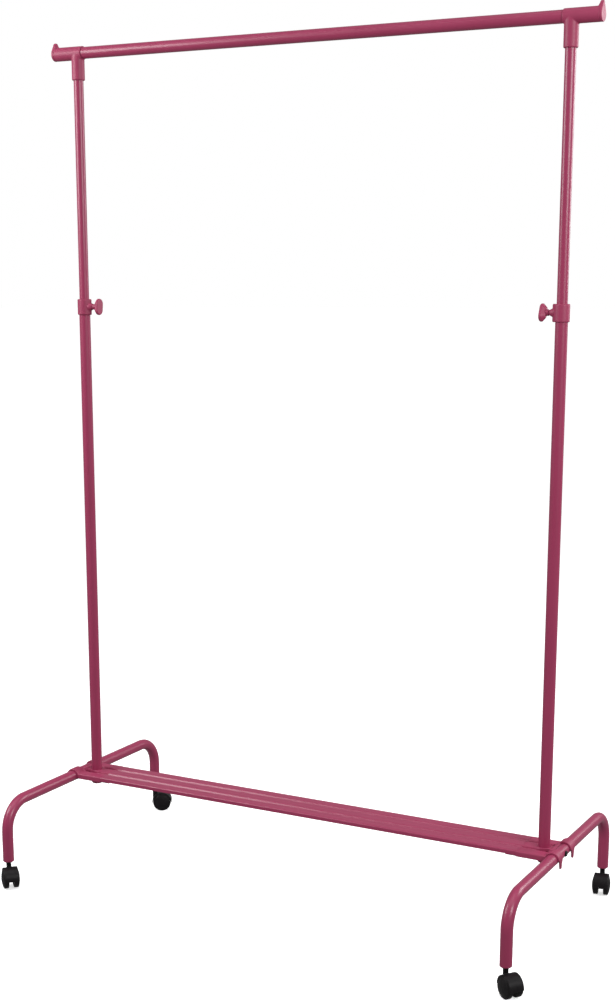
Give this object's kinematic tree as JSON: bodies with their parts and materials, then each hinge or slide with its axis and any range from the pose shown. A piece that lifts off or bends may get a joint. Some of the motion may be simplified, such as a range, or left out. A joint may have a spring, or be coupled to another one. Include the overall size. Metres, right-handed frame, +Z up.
{
  "type": "rolling garment rack",
  "caption": "Straight single-rail garment rack of round tube with telescoping uprights, clamp-screw collars, a low shelf bar and arched legs on twin-wheel swivel casters.",
  "frame": {"origin": "on the floor under the middle of the hanging rail", "axes": "+X along the rail to the right end cap, +Y from front to back, +Z up"},
  "size_m": [1.1248, 0.5974, 1.6422],
  "materials": {
    "painted_tube": "gloss dusty-raspberry powder coat",
    "pink_plastic": "satin moulded plastic in the tubes' colour",
    "black_plastic": "satin black nylon",
    "wheel_plastic": "satin black nylon with a worn tread",
    "dark_steel": "blackened steel",
    "zinc_steel": "zinc-plated steel"
  },
  "bodies": {
    "base": {"shelf": "painted_tube", "shelf_screws": "zinc_steel", "left_end_bracket": "pink_plastic", "left_leg_tube": "painted_tube", "left_lower_upright": "painted_tube", "left_foot_plug": "pink_plastic", "left_leg_bolt": "dark_steel", "left_leg_bolt_nut": "zinc_steel", "left_height_collar": "pink_plastic", "right_end_bracket": "pink_plastic", "right_leg_tube": "painted_tube", "right_lower_upright": "painted_tube", "right_foot_plug": "pink_plastic", "right_leg_bolt": "dark_steel", "right_leg_bolt_nut": "zinc_steel", "right_height_collar": "pink_plastic", "front_left_leg_plug": "black_plastic", "front_right_leg_plug": "black_plastic", "back_left_leg_plug": "black_plastic", "back_right_leg_plug": "black_plastic"},
    "upper_frame": {"rail_tube": "painted_tube", "left_tee_fitting": "pink_plastic", "left_end_cap": "pink_plastic", "left_upper_upright": "painted_tube", "left_tube_guide": "pink_plastic", "right_tee_fitting": "pink_plastic", "right_end_cap": "pink_plastic", "right_upper_upright": "painted_tube", "right_tube_guide": "pink_plastic"},
    "left_stud": {"left_clamp_stud": "dark_steel"},
    "left_knob": {"left_clamp_knob": "pink_plastic"},
    "right_stud": {"right_clamp_stud": "dark_steel"},
    "right_knob": {"right_clamp_knob": "pink_plastic"},
    "front_left_caster": {"front_left_caster_hood": "black_plastic", "front_left_caster_stem": "zinc_steel", "front_left_caster_axle": "zinc_steel"},
    "front_left_wheel_a": {"front_left_caster_wheel_a": "wheel_plastic"},
    "front_left_wheel_b": {"front_left_caster_wheel_b": "wheel_plastic"},
    "front_right_caster": {"front_right_caster_hood": "black_plastic", "front_right_caster_stem": "zinc_steel", "front_right_caster_axle": "zinc_steel"},
    "front_right_wheel_a": {"front_right_caster_wheel_a": "wheel_plastic"},
    "front_right_wheel_b": {"front_right_caster_wheel_b": "wheel_plastic"},
    "back_left_caster": {"back_left_caster_hood": "black_plastic", "back_left_caster_stem": "zinc_steel", "back_left_caster_axle": "zinc_steel"},
    "back_left_wheel_a": {"back_left_caster_wheel_a": "wheel_plastic"},
    "back_left_wheel_b": {"back_left_caster_wheel_b": "wheel_plastic"},
    "back_right_caster": {"back_right_caster_hood": "black_plastic", "back_right_caster_stem": "zinc_steel", "back_right_caster_axle": "zinc_steel"},
    "back_right_wheel_a": {"back_right_caster_wheel_a": "wheel_plastic"},
    "back_right_wheel_b": {"back_right_caster_wheel_b": "wheel_plastic"}
  },
  "joints": [
    {"name": "height_slide", "type": "slide", "parent": "base", "child": "upper_frame", "axis": [0, 0, 1], "range_m": [-0.392, 0.098]},
    {"name": "left_stud_slide", "type": "slide", "parent": "base", "child": "left_stud", "axis": [0.9994, -0.0349, 0], "range_m": [0, 0.0062]},
    {"name": "left_knob_turn", "type": "hinge", "parent": "left_stud", "child": "left_knob", "pos_m": [-0.5, 0, 1.1385], "axis": [0.9994, -0.0349, 0], "range_deg": [0, 2233]},
    {"name": "right_stud_slide", "type": "slide", "parent": "base", "child": "right_stud", "axis": [-1, 0, 0], "range_m": [0, 0.0062]},
    {"name": "right_knob_turn", "type": "hinge", "parent": "right_stud", "child": "right_knob", "pos_m": [0.5, 0, 1.1385], "axis": [-1, 0, 0], "range_deg": [0, 2233]},
    {"name": "front_left_swivel", "type": "hinge", "parent": "base", "child": "front_left_caster", "pos_m": [-0.531, -0.265, 0.051], "axis": [0, 0, 1], "continuous": true},
    {"name": "front_left_wheel_a_spin", "type": "hinge", "parent": "front_left_caster", "child": "front_left_wheel_a", "pos_m": [-0.51911, -0.27571, 0.02], "axis": [0.6691, 0.7431, 0], "continuous": true},
    {"name": "front_left_wheel_b_spin", "type": "hinge", "parent": "front_left_caster", "child": "front_left_wheel_b", "pos_m": [-0.51911, -0.27571, 0.02], "axis": [0.6691, 0.7431, 0], "continuous": true},
    {"name": "front_right_swivel", "type": "hinge", "parent": "base", "child": "front_right_caster", "pos_m": [0.531, -0.265, 0.051], "axis": [0, 0, 1], "continuous": true},
    {"name": "front_right_wheel_a_spin", "type": "hinge", "parent": "front_right_caster", "child": "front_right_wheel_a", "pos_m": [0.54378, -0.27463, 0.02], "axis": [0.6018, 0.7986, 0], "continuous": true},
    {"name": "front_right_wheel_b_spin", "type": "hinge", "parent": "front_right_caster", "child": "front_right_wheel_b", "pos_m": [0.54378, -0.27463, 0.02], "axis": [0.6018, 0.7986, 0], "continuous": true},
    {"name": "back_left_swivel", "type": "hinge", "parent": "base", "child": "back_left_caster", "pos_m": [-0.531, 0.265, 0.051], "axis": [0, 0, 1], "continuous": true},
    {"name": "back_left_wheel_a_spin", "type": "hinge", "parent": "back_left_caster", "child": "back_left_wheel_a", "pos_m": [-0.51729, 0.27324, 0.02], "axis": [-0.515, 0.8572, 0], "continuous": true},
    {"name": "back_left_wheel_b_spin", "type": "hinge", "parent": "back_left_caster", "child": "back_left_wheel_b", "pos_m": [-0.51729, 0.27324, 0.02], "axis": [-0.515, 0.8572, 0], "continuous": true},
    {"name": "back_right_swivel", "type": "hinge", "parent": "base", "child": "back_right_caster", "pos_m": [0.531, 0.265, 0.051], "axis": [0, 0, 1], "continuous": true},
    {"name": "back_right_wheel_a_spin", "type": "hinge", "parent": "back_right_caster", "child": "back_right_wheel_a", "pos_m": [0.53433, 0.24935, 0.02], "axis": [0.9781, 0.2079, 0], "continuous": true},
    {"name": "back_right_wheel_b_spin", "type": "hinge", "parent": "back_right_caster", "child": "back_right_wheel_b", "pos_m": [0.53433, 0.24935, 0.02], "axis": [0.9781, 0.2079, 0], "continuous": true}
  ],
  "couplings": [
    {"joint": "left_knob_turn", "follows": "left_stud_slide", "rad_per_m": 6283.2},
    {"joint": "right_knob_turn", "follows": "right_stud_slide", "rad_per_m": 6283.2}
  ]
}
